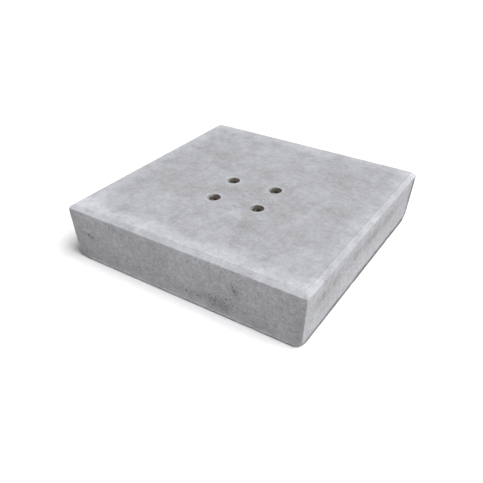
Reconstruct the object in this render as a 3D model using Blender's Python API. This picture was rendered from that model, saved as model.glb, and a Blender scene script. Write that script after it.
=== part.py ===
"""Square precast concrete base block with four threaded fixing sockets cast into its top.

Units are metres and +Z is up. The origin is the middle of the underside, so the block stands on z = 0.
The block is widest at the foot of the chamfer round its top and leans in a little toward the underside,
as a casting does that left an open-topped mould. +X and +Y run along its sides.
"""

import math

import bmesh
import bpy
from mathutils import Euler, Vector

# ---------------------------------------------------------------------------
# Driving dimensions
# ---------------------------------------------------------------------------
# Block
TOP_WIDTH = 0.500           # widest line, at the foot of the chamfer
BASE_WIDTH = 0.4855         # underside, measured to the corner before it is rounded
HEIGHT = 0.117
CHAMFER_RUN = 0.0095        # chamfer, measured inward from the widest line
CHAMFER_DROP = 0.0065       # chamfer, measured down from the top face
CREASE_WIDTH = 0.0012       # the narrow step where the edging tool ran along the top face
CREASE_DEPTH = 0.0005
ARRIS_RADIUS = 0.007        # rounding of the lower edge
ARRIS_STEPS = 5
CORNER_RADIUS_TOP = 0.0030  # plan radius of the vertical corners: at the top face,
CORNER_RADIUS_EDGE = 0.0050  # at the foot of the chamfer,
CORNER_RADIUS_SIDE = 0.0035  # on the sides,
CORNER_RADIUS_BASE = 0.0060  # and at the underside
CORNER_STEPS = 4
TOP_BLEND = 0.008           # height over which the corner radius settles below the chamfer

# Group of sockets in the top face
PATTERN_CENTRE_X = 0.0014
PATTERN_CENTRE_Y = -0.0310
PATTERN_TURN = math.radians(5.5)  # the group was set into the wet face slightly turned
SPACING_X = 0.0917
SPACING_Y = 0.0803

# Hollow round the mouth of each socket
MOUTH_RADIUS = 0.0135       # where the cone would meet the top face
LIP_RADIUS = 0.0016         # rounding of the mouth
RECESS_DEPTH = 0.0040
RECESS_FLOOR_RADIUS = 0.0112
LIP_STEPS = 3

# Socket, turned from steel bar: tapped from above, closed below, with a flared foot that anchors it
SOCKET_RADIUS = 0.0085
SOCKET_LENGTH = 0.060
BORE_RADIUS = 0.0052        # core of the tapped hole
BORE_DEPTH = 0.046
BORE_TIP = 0.0028           # cone left by the drill
RIM_CHAMFER = 0.0014
RIM_BREAK = 0.0005          # outer edge of the rim
FOOT_RADIUS = 0.0120
FOOT_HEIGHT = 0.0040
FLARE_HEIGHT = 0.0045
GAP = 0.0003                # room between a socket and the concrete round it
TURNED_STEPS = 36

SOCKET_TOP = HEIGHT - RECESS_DEPTH
SOCKETS = {
    "threaded_socket_rear_left": (-0.5, 0.5),
    "threaded_socket_rear_right": (0.5, 0.5),
    "threaded_socket_front_left": (-0.5, -0.5),
    "threaded_socket_front_right": (0.5, -0.5),
}


# ---------------------------------------------------------------------------
# Helpers
# ---------------------------------------------------------------------------
def clear_scene():
    for obj in list(bpy.data.objects):
        bpy.data.objects.remove(obj, do_unlink=True)


def principled(name, colour, roughness, metallic):
    material = bpy.data.materials.new(name)
    material.use_nodes = True
    shader = material.node_tree.nodes["Principled BSDF"]
    shader.inputs["Base Color"].default_value = (*colour, 1.0)
    shader.inputs["Roughness"].default_value = roughness
    shader.inputs["Metallic"].default_value = metallic
    material.diffuse_color = (*colour, 1.0)
    return material


def finish_mesh(bm, name, material, sharp_degrees):
    bmesh.ops.recalc_face_normals(bm, faces=bm.faces)
    mesh = bpy.data.meshes.new(name)
    bm.to_mesh(mesh)
    bm.free()
    mesh.materials.append(material)
    mesh.shade_smooth()
    mesh.set_sharp_from_angle(angle=math.radians(sharp_degrees))
    return mesh


def add_object(name, mesh, parent=None, location=(0.0, 0.0, 0.0)):
    obj = bpy.data.objects.new(name, mesh)
    bpy.context.scene.collection.objects.link(obj)
    obj.parent = parent
    obj.location = location
    return obj


def arc(centre, radius, start, end, steps):
    """Points on an arc in the (r, z) or (half width, z) plane, angles in radians, both ends included."""
    return [
        (
            centre[0] + radius * math.cos(start + (end - start) * i / steps),
            centre[1] + radius * math.sin(start + (end - start) * i / steps),
        )
        for i in range(steps + 1)
    ]


def fillet(before, corner, after, radius, steps):
    """The corner of a section rounded off: points of the arc that touches both of its legs."""
    a = (Vector(before) - Vector(corner)).normalized()
    b = (Vector(after) - Vector(corner)).normalized()
    half = 0.5 * a.angle(b)
    centre = Vector(corner) + (a + b).normalized() * (radius / math.sin(half))
    reach = radius / math.tan(half)
    first = Vector(corner) + a * reach - centre
    last = Vector(corner) + b * reach - centre
    start = math.atan2(first.y, first.x)
    turn = math.atan2(last.y, last.x) - start
    turn = (turn + math.pi) % (2.0 * math.pi) - math.pi
    return arc(centre, radius, start, start + turn, steps)


# ---------------------------------------------------------------------------
# Block
# ---------------------------------------------------------------------------
def block_levels():
    """The block's section from the underside up: (half width, z, plan radius of the corners)."""
    base = 0.5 * BASE_WIDTH
    edge = 0.5 * TOP_WIDTH
    chamfer_foot = HEIGHT - CHAMFER_DROP
    crease = edge - CHAMFER_RUN
    levels = []
    rounded = fillet((0.0, 0.0), (base, 0.0), (edge, chamfer_foot), ARRIS_RADIUS, ARRIS_STEPS)
    for i, (half, z) in enumerate(rounded):
        share = i / ARRIS_STEPS
        levels.append((half, z, CORNER_RADIUS_BASE + (CORNER_RADIUS_SIDE - CORNER_RADIUS_BASE) * share))
    slope = (edge - base) / chamfer_foot
    for drop, radius in ((TOP_BLEND, CORNER_RADIUS_SIDE), (0.35 * TOP_BLEND, 0.5 * (CORNER_RADIUS_SIDE + CORNER_RADIUS_EDGE))):
        levels.append((edge - slope * drop, chamfer_foot - drop, radius))
    levels.append((edge, chamfer_foot, CORNER_RADIUS_EDGE))
    levels.append((crease + CREASE_WIDTH, HEIGHT - CREASE_DEPTH, CORNER_RADIUS_TOP + CREASE_WIDTH))
    levels.append((crease, HEIGHT, CORNER_RADIUS_TOP))
    return levels


def square_ring(bm, half, z, radius):
    """A square with rounded corners, anticlockwise from above."""
    ring = []
    inner = half - radius
    for quadrant, (sx, sy) in enumerate(((1, 1), (-1, 1), (-1, -1), (1, -1))):
        start = 0.5 * math.pi * quadrant
        for x, y in arc((sx * inner, sy * inner), radius, start, start + 0.5 * math.pi, CORNER_STEPS):
            ring.append(bm.verts.new((x, y, z)))
    return ring


def make_block(material):
    bm = bmesh.new()
    rings = [square_ring(bm, half, z, radius) for half, z, radius in block_levels()]
    for lower, upper in zip(rings, rings[1:]):
        count = len(lower)
        for i in range(count):
            j = (i + 1) % count
            bm.faces.new((lower[i], lower[j], upper[j], upper[i]))
    bm.faces.new(list(reversed(rings[0])))
    bm.faces.new(rings[-1])
    return add_object("concrete_block", finish_mesh(bm, "concrete_block", material, 28.0))


# ---------------------------------------------------------------------------
# Turned shapes: the sockets and the pockets that hold them
# ---------------------------------------------------------------------------
def turned(name, profile, material, steps=TURNED_STEPS):
    """Closed body turned about Z from an (r, z) profile whose two ends lie on the axis."""
    bm = bmesh.new()
    rings = []
    for r, z in profile:
        if r < 1e-9:
            rings.append([bm.verts.new((0.0, 0.0, z))])
        else:
            rings.append(
                [
                    bm.verts.new((r * math.cos(2.0 * math.pi * i / steps), r * math.sin(2.0 * math.pi * i / steps), z))
                    for i in range(steps)
                ]
            )
    for a, b in zip(rings, rings[1:]):
        for i in range(steps):
            j = (i + 1) % steps
            corners = [a[i % len(a)], a[j % len(a)], b[j % len(b)], b[i % len(b)]]
            unique = list(dict.fromkeys(corners))
            bm.faces.new(unique)
    return finish_mesh(bm, name, material, 28.0)


def socket_outline(offset):
    """Outer (r, z) line of a socket from its foot up to its rim, grown by offset."""
    foot = SOCKET_TOP - SOCKET_LENGTH
    return [
        (FOOT_RADIUS + offset, foot - offset),
        (FOOT_RADIUS + offset, foot + FOOT_HEIGHT + offset),
        (SOCKET_RADIUS + offset, foot + FOOT_HEIGHT + FLARE_HEIGHT + offset),
    ]


def make_socket_mesh(material):
    foot = SOCKET_TOP - SOCKET_LENGTH
    bore_floor = SOCKET_TOP - BORE_DEPTH
    profile = [(0.0, foot)]
    profile += socket_outline(0.0)
    profile += [
        (SOCKET_RADIUS, SOCKET_TOP - RIM_BREAK),
        (SOCKET_RADIUS - RIM_BREAK, SOCKET_TOP),
        (BORE_RADIUS + RIM_CHAMFER, SOCKET_TOP),
        (BORE_RADIUS, SOCKET_TOP - RIM_CHAMFER),
        (BORE_RADIUS, bore_floor),
        (0.0, bore_floor - BORE_TIP),
    ]
    return turned("threaded_socket", profile, material)


def make_pocket_mesh(material):
    """What a socket and the hollow over its rim take out of the block."""
    above = HEIGHT + 0.010
    foot = SOCKET_TOP - SOCKET_LENGTH
    lip = fillet(
        (MOUTH_RADIUS + 0.02, HEIGHT),
        (MOUTH_RADIUS, HEIGHT),
        (RECESS_FLOOR_RADIUS, SOCKET_TOP),
        LIP_RADIUS,
        LIP_STEPS,
    )
    profile = [(0.0, foot - GAP)]
    profile += socket_outline(GAP)
    profile += [(SOCKET_RADIUS + GAP, SOCKET_TOP), (RECESS_FLOOR_RADIUS, SOCKET_TOP)]
    profile += list(reversed(lip))
    profile += [(lip[0][0], above), (0.0, above)]
    return turned("socket_pocket", profile, material)


# ---------------------------------------------------------------------------
# Assembly
# ---------------------------------------------------------------------------
def main():
    clear_scene()
    concrete = principled("concrete", (0.485, 0.490, 0.505), 0.92, 0.0)
    steel = principled("zinc_plated_steel", (0.46, 0.44, 0.40), 0.48, 1.0)

    block = make_block(concrete)

    pattern = bpy.data.objects.new("socket_pattern", None)
    bpy.context.scene.collection.objects.link(pattern)
    pattern.location = (PATTERN_CENTRE_X, PATTERN_CENTRE_Y, 0.0)
    pattern.rotation_euler = Euler((0.0, 0.0, PATTERN_TURN))

    socket_mesh = make_socket_mesh(steel)
    pocket_mesh = make_pocket_mesh(concrete)
    for name, (across, along) in SOCKETS.items():
        place = (across * SPACING_X, along * SPACING_Y, 0.0)
        add_object(name, socket_mesh, pattern, place)
        cutter = add_object(name.replace("threaded_socket", "pocket_cutter"), pocket_mesh, pattern, place)
        cutter.hide_render = True
        cutter.display_type = "WIRE"
        cut = block.modifiers.new(cutter.name, "BOOLEAN")
        cut.operation = "DIFFERENCE"
        cut.solver = "EXACT"
        cut.object = cutter


main()
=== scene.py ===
"""Looks for a square precast concrete base block with four threaded sockets cast into its top.

Each of the five CAD nodes is replaced by a detailed mesh in the same place. The block's mesh is a closed skin over
the same section as the CAD block: hand-worked top, tooled chamfer with its crease, moulded sides, worn arrises and
real air holes. The sockets carry a real helical thread.
"""

import math

import bpy
import numpy as np
from mathutils import Matrix, Vector
from mathutils.geometry import delaunay_2d_cdt


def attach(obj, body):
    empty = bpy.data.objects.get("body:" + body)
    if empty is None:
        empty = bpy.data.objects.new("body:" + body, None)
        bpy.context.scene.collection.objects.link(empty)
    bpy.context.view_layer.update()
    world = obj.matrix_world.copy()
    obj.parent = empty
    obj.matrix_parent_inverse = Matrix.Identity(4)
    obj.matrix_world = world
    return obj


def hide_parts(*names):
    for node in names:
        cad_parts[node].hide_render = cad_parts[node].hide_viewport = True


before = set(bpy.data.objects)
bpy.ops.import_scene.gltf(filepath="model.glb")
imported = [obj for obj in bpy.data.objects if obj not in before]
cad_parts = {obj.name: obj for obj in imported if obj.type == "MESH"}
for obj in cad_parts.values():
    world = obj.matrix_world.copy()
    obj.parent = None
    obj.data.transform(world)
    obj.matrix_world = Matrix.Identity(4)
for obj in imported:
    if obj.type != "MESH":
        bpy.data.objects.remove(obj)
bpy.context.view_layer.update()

# ---------------------------------------------------------------------------
# Dimensions, in metres, the same as the CAD model's
# ---------------------------------------------------------------------------
HEIGHT = 0.117
EDGE = 0.250            # half width at the foot of the chamfer
BASE = 0.24275          # half width at the underside before the arris is rounded
CHAMFER_FOOT = 0.1105
CREASE = 0.2405
CREASE_WIDTH = 0.0012
CREASE_DROP = 0.0005
EDGE_ROUND = 0.0015     # the chamfer's foot is never quite sharp
ARRIS_RADIUS = 0.007
RING = 0.2375           # where the flat top ends and the worked edge begins

PATTERN_CENTRE = (0.0014, -0.0310)
PATTERN_TURN = math.radians(5.5)
SPACING = (0.0917, 0.0803)
MOUTH_RADIUS = 0.0135
LIP_RADIUS = 0.0016
RECESS_DEPTH = 0.0040
RECESS_FLOOR_RADIUS = 0.0112
MOUTH_RING = 0.0164     # where the top's mesh meets the mesh of a mouth
MOUTH_STEPS = 64
SOCKET_TOP = HEIGHT - RECESS_DEPTH
SOCKET_RADIUS = 0.0085
SOCKET_LENGTH = 0.060
BORE_RADIUS = 0.0052
BORE_DEPTH = 0.046
BORE_TIP = 0.0028
RIM_CHAMFER = 0.0014
RIM_BREAK = 0.0005
FOOT_RADIUS = 0.0120
FOOT_HEIGHT = 0.0040
FLARE_HEIGHT = 0.0045
GAP = 0.0003
THREAD_PITCH = 0.00175
THREAD_DEPTH = 0.00085

SOCKETS = {
    "threaded_socket_rear_left": (-0.5, 0.5),
    "threaded_socket_rear_right": (0.5, 0.5),
    "threaded_socket_front_left": (-0.5, -0.5),
    "threaded_socket_front_right": (0.5, -0.5),
}


def socket_centre(share):
    x, y = share[0] * SPACING[0], share[1] * SPACING[1]
    c, s = math.cos(PATTERN_TURN), math.sin(PATTERN_TURN)
    return PATTERN_CENTRE[0] + c * x - s * y, PATTERN_CENTRE[1] + s * x + c * y


CENTRES = {name: socket_centre(share) for name, share in SOCKETS.items()}


# ---------------------------------------------------------------------------
# Small tools
# ---------------------------------------------------------------------------
def smooth(a, b, x):
    t = np.clip((np.asarray(x, float) - a) / (b - a), 0.0, 1.0)
    return t * t * (3.0 - 2.0 * t)


def noise(points, size, seed):
    """Gradient noise, about -1 to 1, with lumps about size metres across."""
    rng = np.random.default_rng(seed)
    table = rng.permutation(256)
    grads = rng.normal(size=(256, 3))
    grads /= np.linalg.norm(grads, axis=1)[:, None]
    q = np.asarray(points, float) / size + 64.0 + rng.random(3) * 8.0
    cell = np.floor(q).astype(int)
    f = q - cell
    u = f * f * f * (f * (f * 6.0 - 15.0) + 10.0)
    out = np.zeros(len(q))
    for dx in (0, 1):
        for dy in (0, 1):
            for dz in (0, 1):
                h = table[(cell[:, 0] + dx) & 255]
                h = table[(h + cell[:, 1] + dy) & 255]
                h = table[(h + cell[:, 2] + dz) & 255]
                d = f - np.array((dx, dy, dz))
                w = (
                    (u[:, 0] if dx else 1.0 - u[:, 0])
                    * (u[:, 1] if dy else 1.0 - u[:, 1])
                    * (u[:, 2] if dz else 1.0 - u[:, 2])
                )
                out += w * (grads[h] * d).sum(1)
    return out * 1.55


def arc(centre, radius, start, end, steps):
    return [
        (centre[0] + radius * math.cos(start + (end - start) * i / steps), centre[1] + radius * math.sin(start + (end - start) * i / steps))
        for i in range(steps + 1)
    ]


def fillet(before, corner, after, radius, steps):
    a = (Vector(before) - Vector(corner)).normalized()
    b = (Vector(after) - Vector(corner)).normalized()
    half = 0.5 * a.angle(b)
    centre = Vector(corner) + (a + b).normalized() * (radius / math.sin(half))
    reach = radius / math.tan(half)
    first = Vector(corner) + a * reach - centre
    last = Vector(corner) + b * reach - centre
    start = math.atan2(first.y, first.x)
    turn = math.atan2(last.y, last.x) - start
    turn = (turn + math.pi) % (2.0 * math.pi) - math.pi
    return arc(centre, radius, start, start + turn, steps)


def lattice(x0, x1, y0, y1, step, rng):
    """Staggered rows of points over a rectangle, a little out of line so that no grid shows."""
    rows = max(2, round((y1 - y0) / (step * 0.866)))
    cols = max(2, round((x1 - x0) / step))
    dx, dy = (x1 - x0) / cols, (y1 - y0) / rows
    found = []
    for i in range(rows + 1):
        xs = x0 + dx * (np.arange(cols) + 0.5) if i % 2 else x0 + dx * np.arange(cols + 1)
        found.append(np.stack([xs, np.full(len(xs), y0 + dy * i)], 1))
    found = np.concatenate(found)
    return found + rng.uniform(-0.2, 0.2, found.shape) * step


def triangulate(points):
    """Delaunay triangles over a flat set of points, anticlockwise."""
    verts, _, faces, origin, _, _ = delaunay_2d_cdt([Vector((float(x) * 1000.0, float(y) * 1000.0)) for x, y in points], [], [], 0, 0.0, True)
    back = np.array([o[0] for o in origin])
    tris = back[np.array([f[:3] for f in faces])]
    p = np.asarray(points)[tris]
    area = 0.5 * ((p[:, 1, 0] - p[:, 0, 0]) * (p[:, 2, 1] - p[:, 0, 1]) - (p[:, 2, 0] - p[:, 0, 0]) * (p[:, 1, 1] - p[:, 0, 1]))
    tris[area < 0] = tris[area < 0][:, ::-1]
    return tris[np.abs(area) > 1e-11]


# ---------------------------------------------------------------------------
# The block's section, from the flat top out over the chamfer, down the side and round the arris
# ---------------------------------------------------------------------------
A, B = (CREASE, HEIGHT), (CREASE + CREASE_WIDTH, HEIGHT - CREASE_DROP)
EDGE_ARC = fillet(B, (EDGE, CHAMFER_FOOT), (BASE, 0.0), EDGE_ROUND, 6)
ARRIS_ARC = fillet((EDGE, CHAMFER_FOOT), (BASE, 0.0), (0.0, 0.0), ARRIS_RADIUS, 12)
LINE = np.array([(RING, HEIGHT), A, B] + EDGE_ARC + ARRIS_ARC)
LINE_T = np.concatenate([[0.0], np.cumsum(np.linalg.norm(np.diff(LINE, axis=0), axis=1))])
T_CREASE, T_CREASE_END = LINE_T[1], LINE_T[2]
T_EDGE = LINE_T[3 : 3 + len(EDGE_ARC)]
T_ARRIS = LINE_T[3 + len(EDGE_ARC) :]
T_END = LINE_T[-1]
# plan radius of the upright corners along the section: small on the sides, well rubbed at the foot
CORNER_T = [0.0, T_CREASE, T_CREASE_END, T_EDGE[0], T_EDGE[-1], T_EDGE[-1] + 0.008]
CORNER_R = [0.0024, 0.0048, 0.0052, 0.0050, 0.0030, 0.0014]
CORNER_T += [T_ARRIS[0] - drop for drop in (0.0140, 0.0115, 0.0092, 0.0070, 0.0050, 0.0030, 0.0012, 0.0)] + [T_END]
CORNER_R += [0.0015, 0.0021, 0.0040, 0.0074, 0.0108, 0.0138, 0.0154, 0.0160, 0.0170]
CUT_WIDTH, CUT_DROP = 0.0084, 0.0115   # the worn patch at each upper corner: how far it reaches along and down

SIDE_LENGTH = 0.490     # one side's straight stretch on the unrolled skin
CORNER_LENGTH = 0.006   # and one corner's
SEGMENT = SIDE_LENGTH + CORNER_LENGTH
PERIOD = 4.0 * SEGMENT
CORNER_STEPS = 6
FRONT, RIGHT, BACK, LEFT = range(4)


def skin(s, t):
    """Where a point of the unrolled side skin lies, and which way is out: s runs anticlockwise from the front left
    corner, t outward and down from the flat top."""
    s, t = np.asarray(s, float) % PERIOD, np.asarray(t, float)
    half = np.interp(t, LINE_T, LINE[:, 0])
    z = np.interp(t, LINE_T, LINE[:, 1])
    radius = np.interp(t, CORNER_T, CORNER_R)
    step = 0.0006
    lo, hi = np.clip(t - step, 0.0, T_END), np.clip(t + step, 0.0, T_END)
    dh = np.interp(hi, LINE_T, LINE[:, 0]) - np.interp(lo, LINE_T, LINE[:, 0])
    dz = np.interp(hi, LINE_T, LINE[:, 1]) - np.interp(lo, LINE_T, LINE[:, 1])
    size = np.hypot(dh, dz)
    out, up = -dz / size, dh / size
    side = np.minimum(np.floor(s / SEGMENT), 3)
    a = s - side * SEGMENT
    angle = -0.5 * math.pi + 0.5 * math.pi * side
    nx, ny = np.cos(angle), np.sin(angle)
    tx, ty = -ny, nx
    along = np.clip(a / SIDE_LENGTH * 2.0 - 1.0, -1.0, 1.0) * (half - radius)
    phi = np.clip((a - SIDE_LENGTH) / CORNER_LENGTH, 0.0, 1.0) * 0.5 * math.pi
    ox, oy = nx * np.cos(phi) + tx * np.sin(phi), ny * np.cos(phi) + ty * np.sin(phi)
    x = nx * (half - radius) + tx * along + radius * ox
    y = ny * (half - radius) + ty * along + radius * oy
    position = np.stack([x, y, z], 1)
    normal = np.stack([ox * out, oy * out, up], 1)
    return position, normal


def side_spot(side, along, z):
    """The place on the unrolled skin of a spot on one side. along is x on the front and back, y on the right and left."""
    sign = 1.0 if side in (FRONT, RIGHT) else -1.0
    half = BASE + (EDGE - BASE) * z / CHAMFER_FOOT - 0.0035
    s = side * SEGMENT + 0.5 * SIDE_LENGTH * (1.0 + sign * along / half)
    down = slice(3 + len(EDGE_ARC) - 1, 3 + len(EDGE_ARC) + 1)
    t = np.interp(-z, -LINE[down, 1], LINE_T[down])
    return s, t


# ---------------------------------------------------------------------------
# Air holes. Each one is (x or s, y or t, radius, depth, stretch, turn, seed)
# ---------------------------------------------------------------------------
rng = np.random.default_rng(4199)


def hole(x, y, radius, depth=0.8, stretch=1.0, turn=None):
    turn = rng.uniform(0, math.pi) if turn is None else turn
    return (x, y, radius, depth * radius, stretch, turn, rng.uniform(0, 2 * math.pi))


def scatter(x0, x1, y0, y1, count, r0, r1, keep_off=()):
    """Air holes strewn over a rectangle, small ones far more often than large ones."""
    found = []
    for _ in range(count * 12):
        if len(found) == count:
            break
        x, y = rng.uniform(x0, x1), rng.uniform(y0, y1)
        r = r0 + (r1 - r0) * rng.random() ** 3
        if any(math.hypot(x - h[0], y - h[1]) < 3.2 * (r + h[2]) for h in found + list(keep_off)):
            continue
        found.append(hole(x, y, r, rng.uniform(0.7, 1.1), rng.uniform(1.0, 1.5)))
    return found


def cluster(x, y, rx, ry, count, r0, r1, keep_off=()):
    """A patch of small air holes that thins out from its middle."""
    found = []
    for _ in range(count * 12):
        if len(found) == count:
            break
        dx, dy = rng.normal(0, 0.5, 2)
        r = rng.uniform(r0, r1)
        px, py = x + dx * rx, y + dy * ry
        if abs(dx) > 1.2 or abs(dy) > 1.2 or any(math.hypot(px - h[0], py - h[1]) < 3.0 * (r + h[2]) for h in found + list(keep_off)):
            continue
        found.append(hole(px, py, r, rng.uniform(0.7, 1.0), rng.uniform(1.0, 1.4)))
    return found


def on_side(side, spots):
    return [hole(*side_spot(side, along, z), radius, depth, stretch, turn) for along, z, radius, depth, stretch, turn in spots]


T_LOW, T_HIGH = side_spot(FRONT, 0.0, 0.100)[1], side_spot(FRONT, 0.0, 0.012)[1]


def side_scatter(side, count, r0, r1, keep_off=()):
    s0 = side * SEGMENT
    return scatter(s0 + 0.012, s0 + SIDE_LENGTH - 0.012, T_LOW, T_HIGH, count, r0, r1, keep_off)


FRONT_HOLES = on_side(
    FRONT,
    [
        (-0.2065, 0.0625, 0.0021, 0.9, 1.5, 0.1),
        (-0.1985, 0.0606, 0.0018, 0.9, 1.3, 0.0),
        (-0.2255, 0.0170, 0.0015, 0.9, 1.2, 0.4),
        (-0.2195, 0.0235, 0.0010, 0.9, 1.0, 0.4),
        (-0.1980, 0.0130, 0.0015, 0.9, 1.2, 0.4),
        (0.0170, 0.0260, 0.0018, 1.0, 1.2, 1.0),
        (0.0410, 0.0250, 0.0015, 1.0, 1.1, 0.3),
        (0.1170, 0.0690, 0.0018, 0.9, 1.6, 1.4),
        (0.1145, 0.0755, 0.0011, 0.9, 1.0, 0.0),
        (0.1200, 0.0620, 0.0011, 0.9, 1.0, 0.0),
    ],
)
s_dark, t_dark = side_spot(FRONT, 0.088, 0.033)
FRONT_HOLES += cluster(s_dark, t_dark, 0.025, 0.013, 36, 0.0007, 0.0013, FRONT_HOLES)
FRONT_HOLES += side_scatter(FRONT, 10, 0.0005, 0.0010, FRONT_HOLES)

RIGHT_HOLES = []
for along, z, rx, ry, count in ((-0.187, 0.076, 0.022, 0.010, 11), (-0.137, 0.077, 0.018, 0.009, 7), (-0.054, 0.078, 0.013, 0.009, 6), (0.023, 0.079, 0.040, 0.008, 14), (0.110, 0.080, 0.026, 0.008, 8)):
    s, t = side_spot(RIGHT, along, z)
    RIGHT_HOLES += cluster(s, t, rx, ry, round(1.2 * count), 0.0006, 0.0011, RIGHT_HOLES)
RIGHT_HOLES += side_scatter(RIGHT, 10, 0.0005, 0.0010, RIGHT_HOLES)

BACK_HOLES = side_scatter(BACK, 30, 0.0006, 0.0026)
s, t = side_spot(BACK, 0.110, 0.045)
BACK_HOLES += cluster(s, t, 0.030, 0.014, 14, 0.0006, 0.0012, BACK_HOLES)
LEFT_HOLES = side_scatter(LEFT, 26, 0.0006, 0.0024)
s, t = side_spot(LEFT, -0.060, 0.038)
LEFT_HOLES += cluster(s, t, 0.026, 0.012, 12, 0.0006, 0.0012, LEFT_HOLES)
SIDE_HOLES = FRONT_HOLES + RIGHT_HOLES + BACK_HOLES + LEFT_HOLES

MOUTHS = [(x, y, MOUTH_RING / 3.2, 0, 1, 0, 0) for x, y in CENTRES.values()]
TOP_SPOTS = [
    (-0.0407, -0.0276),
    (-0.0262, -0.0185),
    (-0.0240, -0.0225),
    (-0.0006, -0.0197),
    (0.0015, -0.0388),
    (0.0060, -0.0420),
    (0.0124, -0.0295),
    (0.0104, -0.0837),
    (0.0263, -0.0703),
    (-0.0560, -0.0480),
    (-0.0520, -0.0455),
    (-0.0535, -0.0505),
]
TOP_HOLES = [hole(x, y, 0.00112, 0.9, 1.15) for x, y in TOP_SPOTS]
TOP_HOLES += cluster(0.053, -0.034, 0.024, 0.005, 10, 0.0009, 0.0012, MOUTHS + TOP_HOLES)
TOP_HOLES += cluster(-0.145, -0.058, 0.034, 0.030, 16, 0.0005, 0.0009, MOUTHS + TOP_HOLES)
TOP_HOLES += cluster(0.070, -0.135, 0.050, 0.012, 6, 0.0005, 0.0008, MOUTHS + TOP_HOLES)
TOP_HOLES += scatter(-0.225, 0.225, -0.225, 0.225, 24, 0.0006, 0.0010, MOUTHS + TOP_HOLES)
UNDER_HOLES = scatter(-0.22, 0.22, -0.22, 0.22, 34, 0.0012, 0.0040)


def outline(angle, h):
    return (
        1.0
        + 0.13 * np.sin(2.0 * angle + h[6])
        + 0.09 * np.sin(3.0 * angle + 1.7 * h[6])
        + 0.05 * np.sin(5.0 * angle + 2.9 * h[6])
    )


def hole_points(h):
    """Points that carry the shape of one air hole."""
    large = h[2] > 0.00095
    rhos = (0.32, 0.56, 0.76, 0.90, 1.00, 1.12, 1.42, 2.1) if large else (0.45, 0.80, 1.00, 1.25, 1.9)
    steps = 12 if large else 8
    found = [(0.0, 0.0)]
    for i, rho in enumerate(rhos):
        a = (np.arange(steps) + 0.5 * (i % 2)) / steps * 2.0 * math.pi
        r = h[2] * rho * outline(a, h)
        found += list(zip(r * np.cos(a) * h[4], r * np.sin(a)))
    found = np.array(found)
    c, s = math.cos(h[5]), math.sin(h[5])
    return np.stack([h[0] + c * found[:, 0] - s * found[:, 1], h[1] + s * found[:, 0] + c * found[:, 1]], 1)


def holes_at(points, holes):
    """(how deep, how dark) the air holes make each point of a flat set. The darkness is dirt and painted shade inside
    each hole.
    """
    deep, dirt_and_shade = np.zeros(len(points)), np.zeros(len(points))
    for h in holes:
        d = points - np.array(h[:2])
        near = np.flatnonzero((np.abs(d) < 2.6 * h[2] * h[4]).all(1))
        if not len(near):
            continue
        c, s = math.cos(h[5]), math.sin(h[5])
        x, y = (c * d[near, 0] + s * d[near, 1]) / h[4], -s * d[near, 0] + c * d[near, 1]
        rho = np.hypot(x, y) / (h[2] * outline(np.arctan2(y, x), h))
        bowl = np.sqrt(np.clip(1.0 - (rho / 1.03) ** 2, 0.0, 1.0))
        deep[near] = np.maximum(deep[near], h[3] * bowl)
        # Dark inside each air hole: dirt and painted shade.
        dirt_and_shade[near] = np.maximum(dirt_and_shade[near], 1.0 - smooth(0.62, 1.12, rho))
    return deep, dirt_and_shade


def with_holes(points, fixed, holes):
    """Puts the points of the air holes into a set, in place of the loose points round them."""
    loose = points
    for h in holes:
        d = loose - np.array(h[:2])
        reach = 2.1 * h[2] * h[4] + 0.0011
        loose = loose[np.hypot(d[:, 0], d[:, 1]) > reach]
    added = [hole_points(h) for h in holes]
    return np.concatenate([fixed, loose] + added) if added else np.concatenate([fixed, loose])


# ---------------------------------------------------------------------------
# Side skin
# ---------------------------------------------------------------------------
def columns(spacing):
    """s values of one row: even along the sides, closer round the corners."""
    per_side = round(SIDE_LENGTH / spacing)
    found = []
    for side in range(4):
        start = side * SEGMENT
        found += list(start + SIDE_LENGTH * np.arange(per_side) / per_side)
        found += list(start + SIDE_LENGTH + CORNER_LENGTH * np.arange(CORNER_STEPS) / CORNER_STEPS)
    return np.array(found)


UPPER_ROWS = np.array(
    [0.0, 0.0012, 0.0021, 0.0027, 0.0031, 0.00345, 0.0038, 0.00415, 0.0046, 0.0053, 0.0067, 0.0085, 0.0104, 0.0122]
    + list(T_EDGE[[0, 2, 3, 4, 6]])
    + [T_EDGE[-1] + 0.0012, T_EDGE[-1] + 0.0030]
)
LOWER_ROWS = np.array([T_ARRIS[0] - k * 0.0024 for k in (5, 4, 3, 2, 1)] + list(T_ARRIS[[0, 2, 4, 6, 8, 10, 12]]))
UPPER_COLUMNS, LOWER_COLUMNS = columns(0.00222), columns(0.0034)
STEP = 0.00325


def apart(points, others, gap):
    """Those of the points that lie at least gap away from all the others."""
    near = np.zeros(len(points), bool)
    for x, y in others:
        near |= (np.abs(points[:, 0] - x) < gap) & (np.abs(points[:, 1] - y) < gap)
    return points[~near]


def corner_arcs(fixed):
    """Points along the curved outline of the worn patch beside each upper corner, on both of its sides."""
    found = []
    for angle in np.radians(np.arange(6.0, 84.0, 6.0)):
        for grow in (0.91, 1.0, 1.09):
            u = CUT_WIDTH * (1.0 - grow * math.cos(angle))
            w = CUT_DROP * (1.0 - grow * math.sin(angle))
            z = CHAMFER_FOOT - w
            half = BASE + (EDGE - BASE) * z / CHAMFER_FOOT
            t = side_spot(FRONT, 0.0, z)[1]
            radius = np.interp(t, CORNER_T, CORNER_R)
            if w < 0.0011 or u < radius + 0.0003:
                continue
            reach = 0.5 * SIDE_LENGTH * (half - u) / (half - radius)
            for side in range(4):
                for sign in (-1.0, 1.0):
                    found.append((side * SEGMENT + 0.5 * SIDE_LENGTH + sign * reach, t))
    return apart(np.array(found), fixed, 0.00022)


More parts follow.
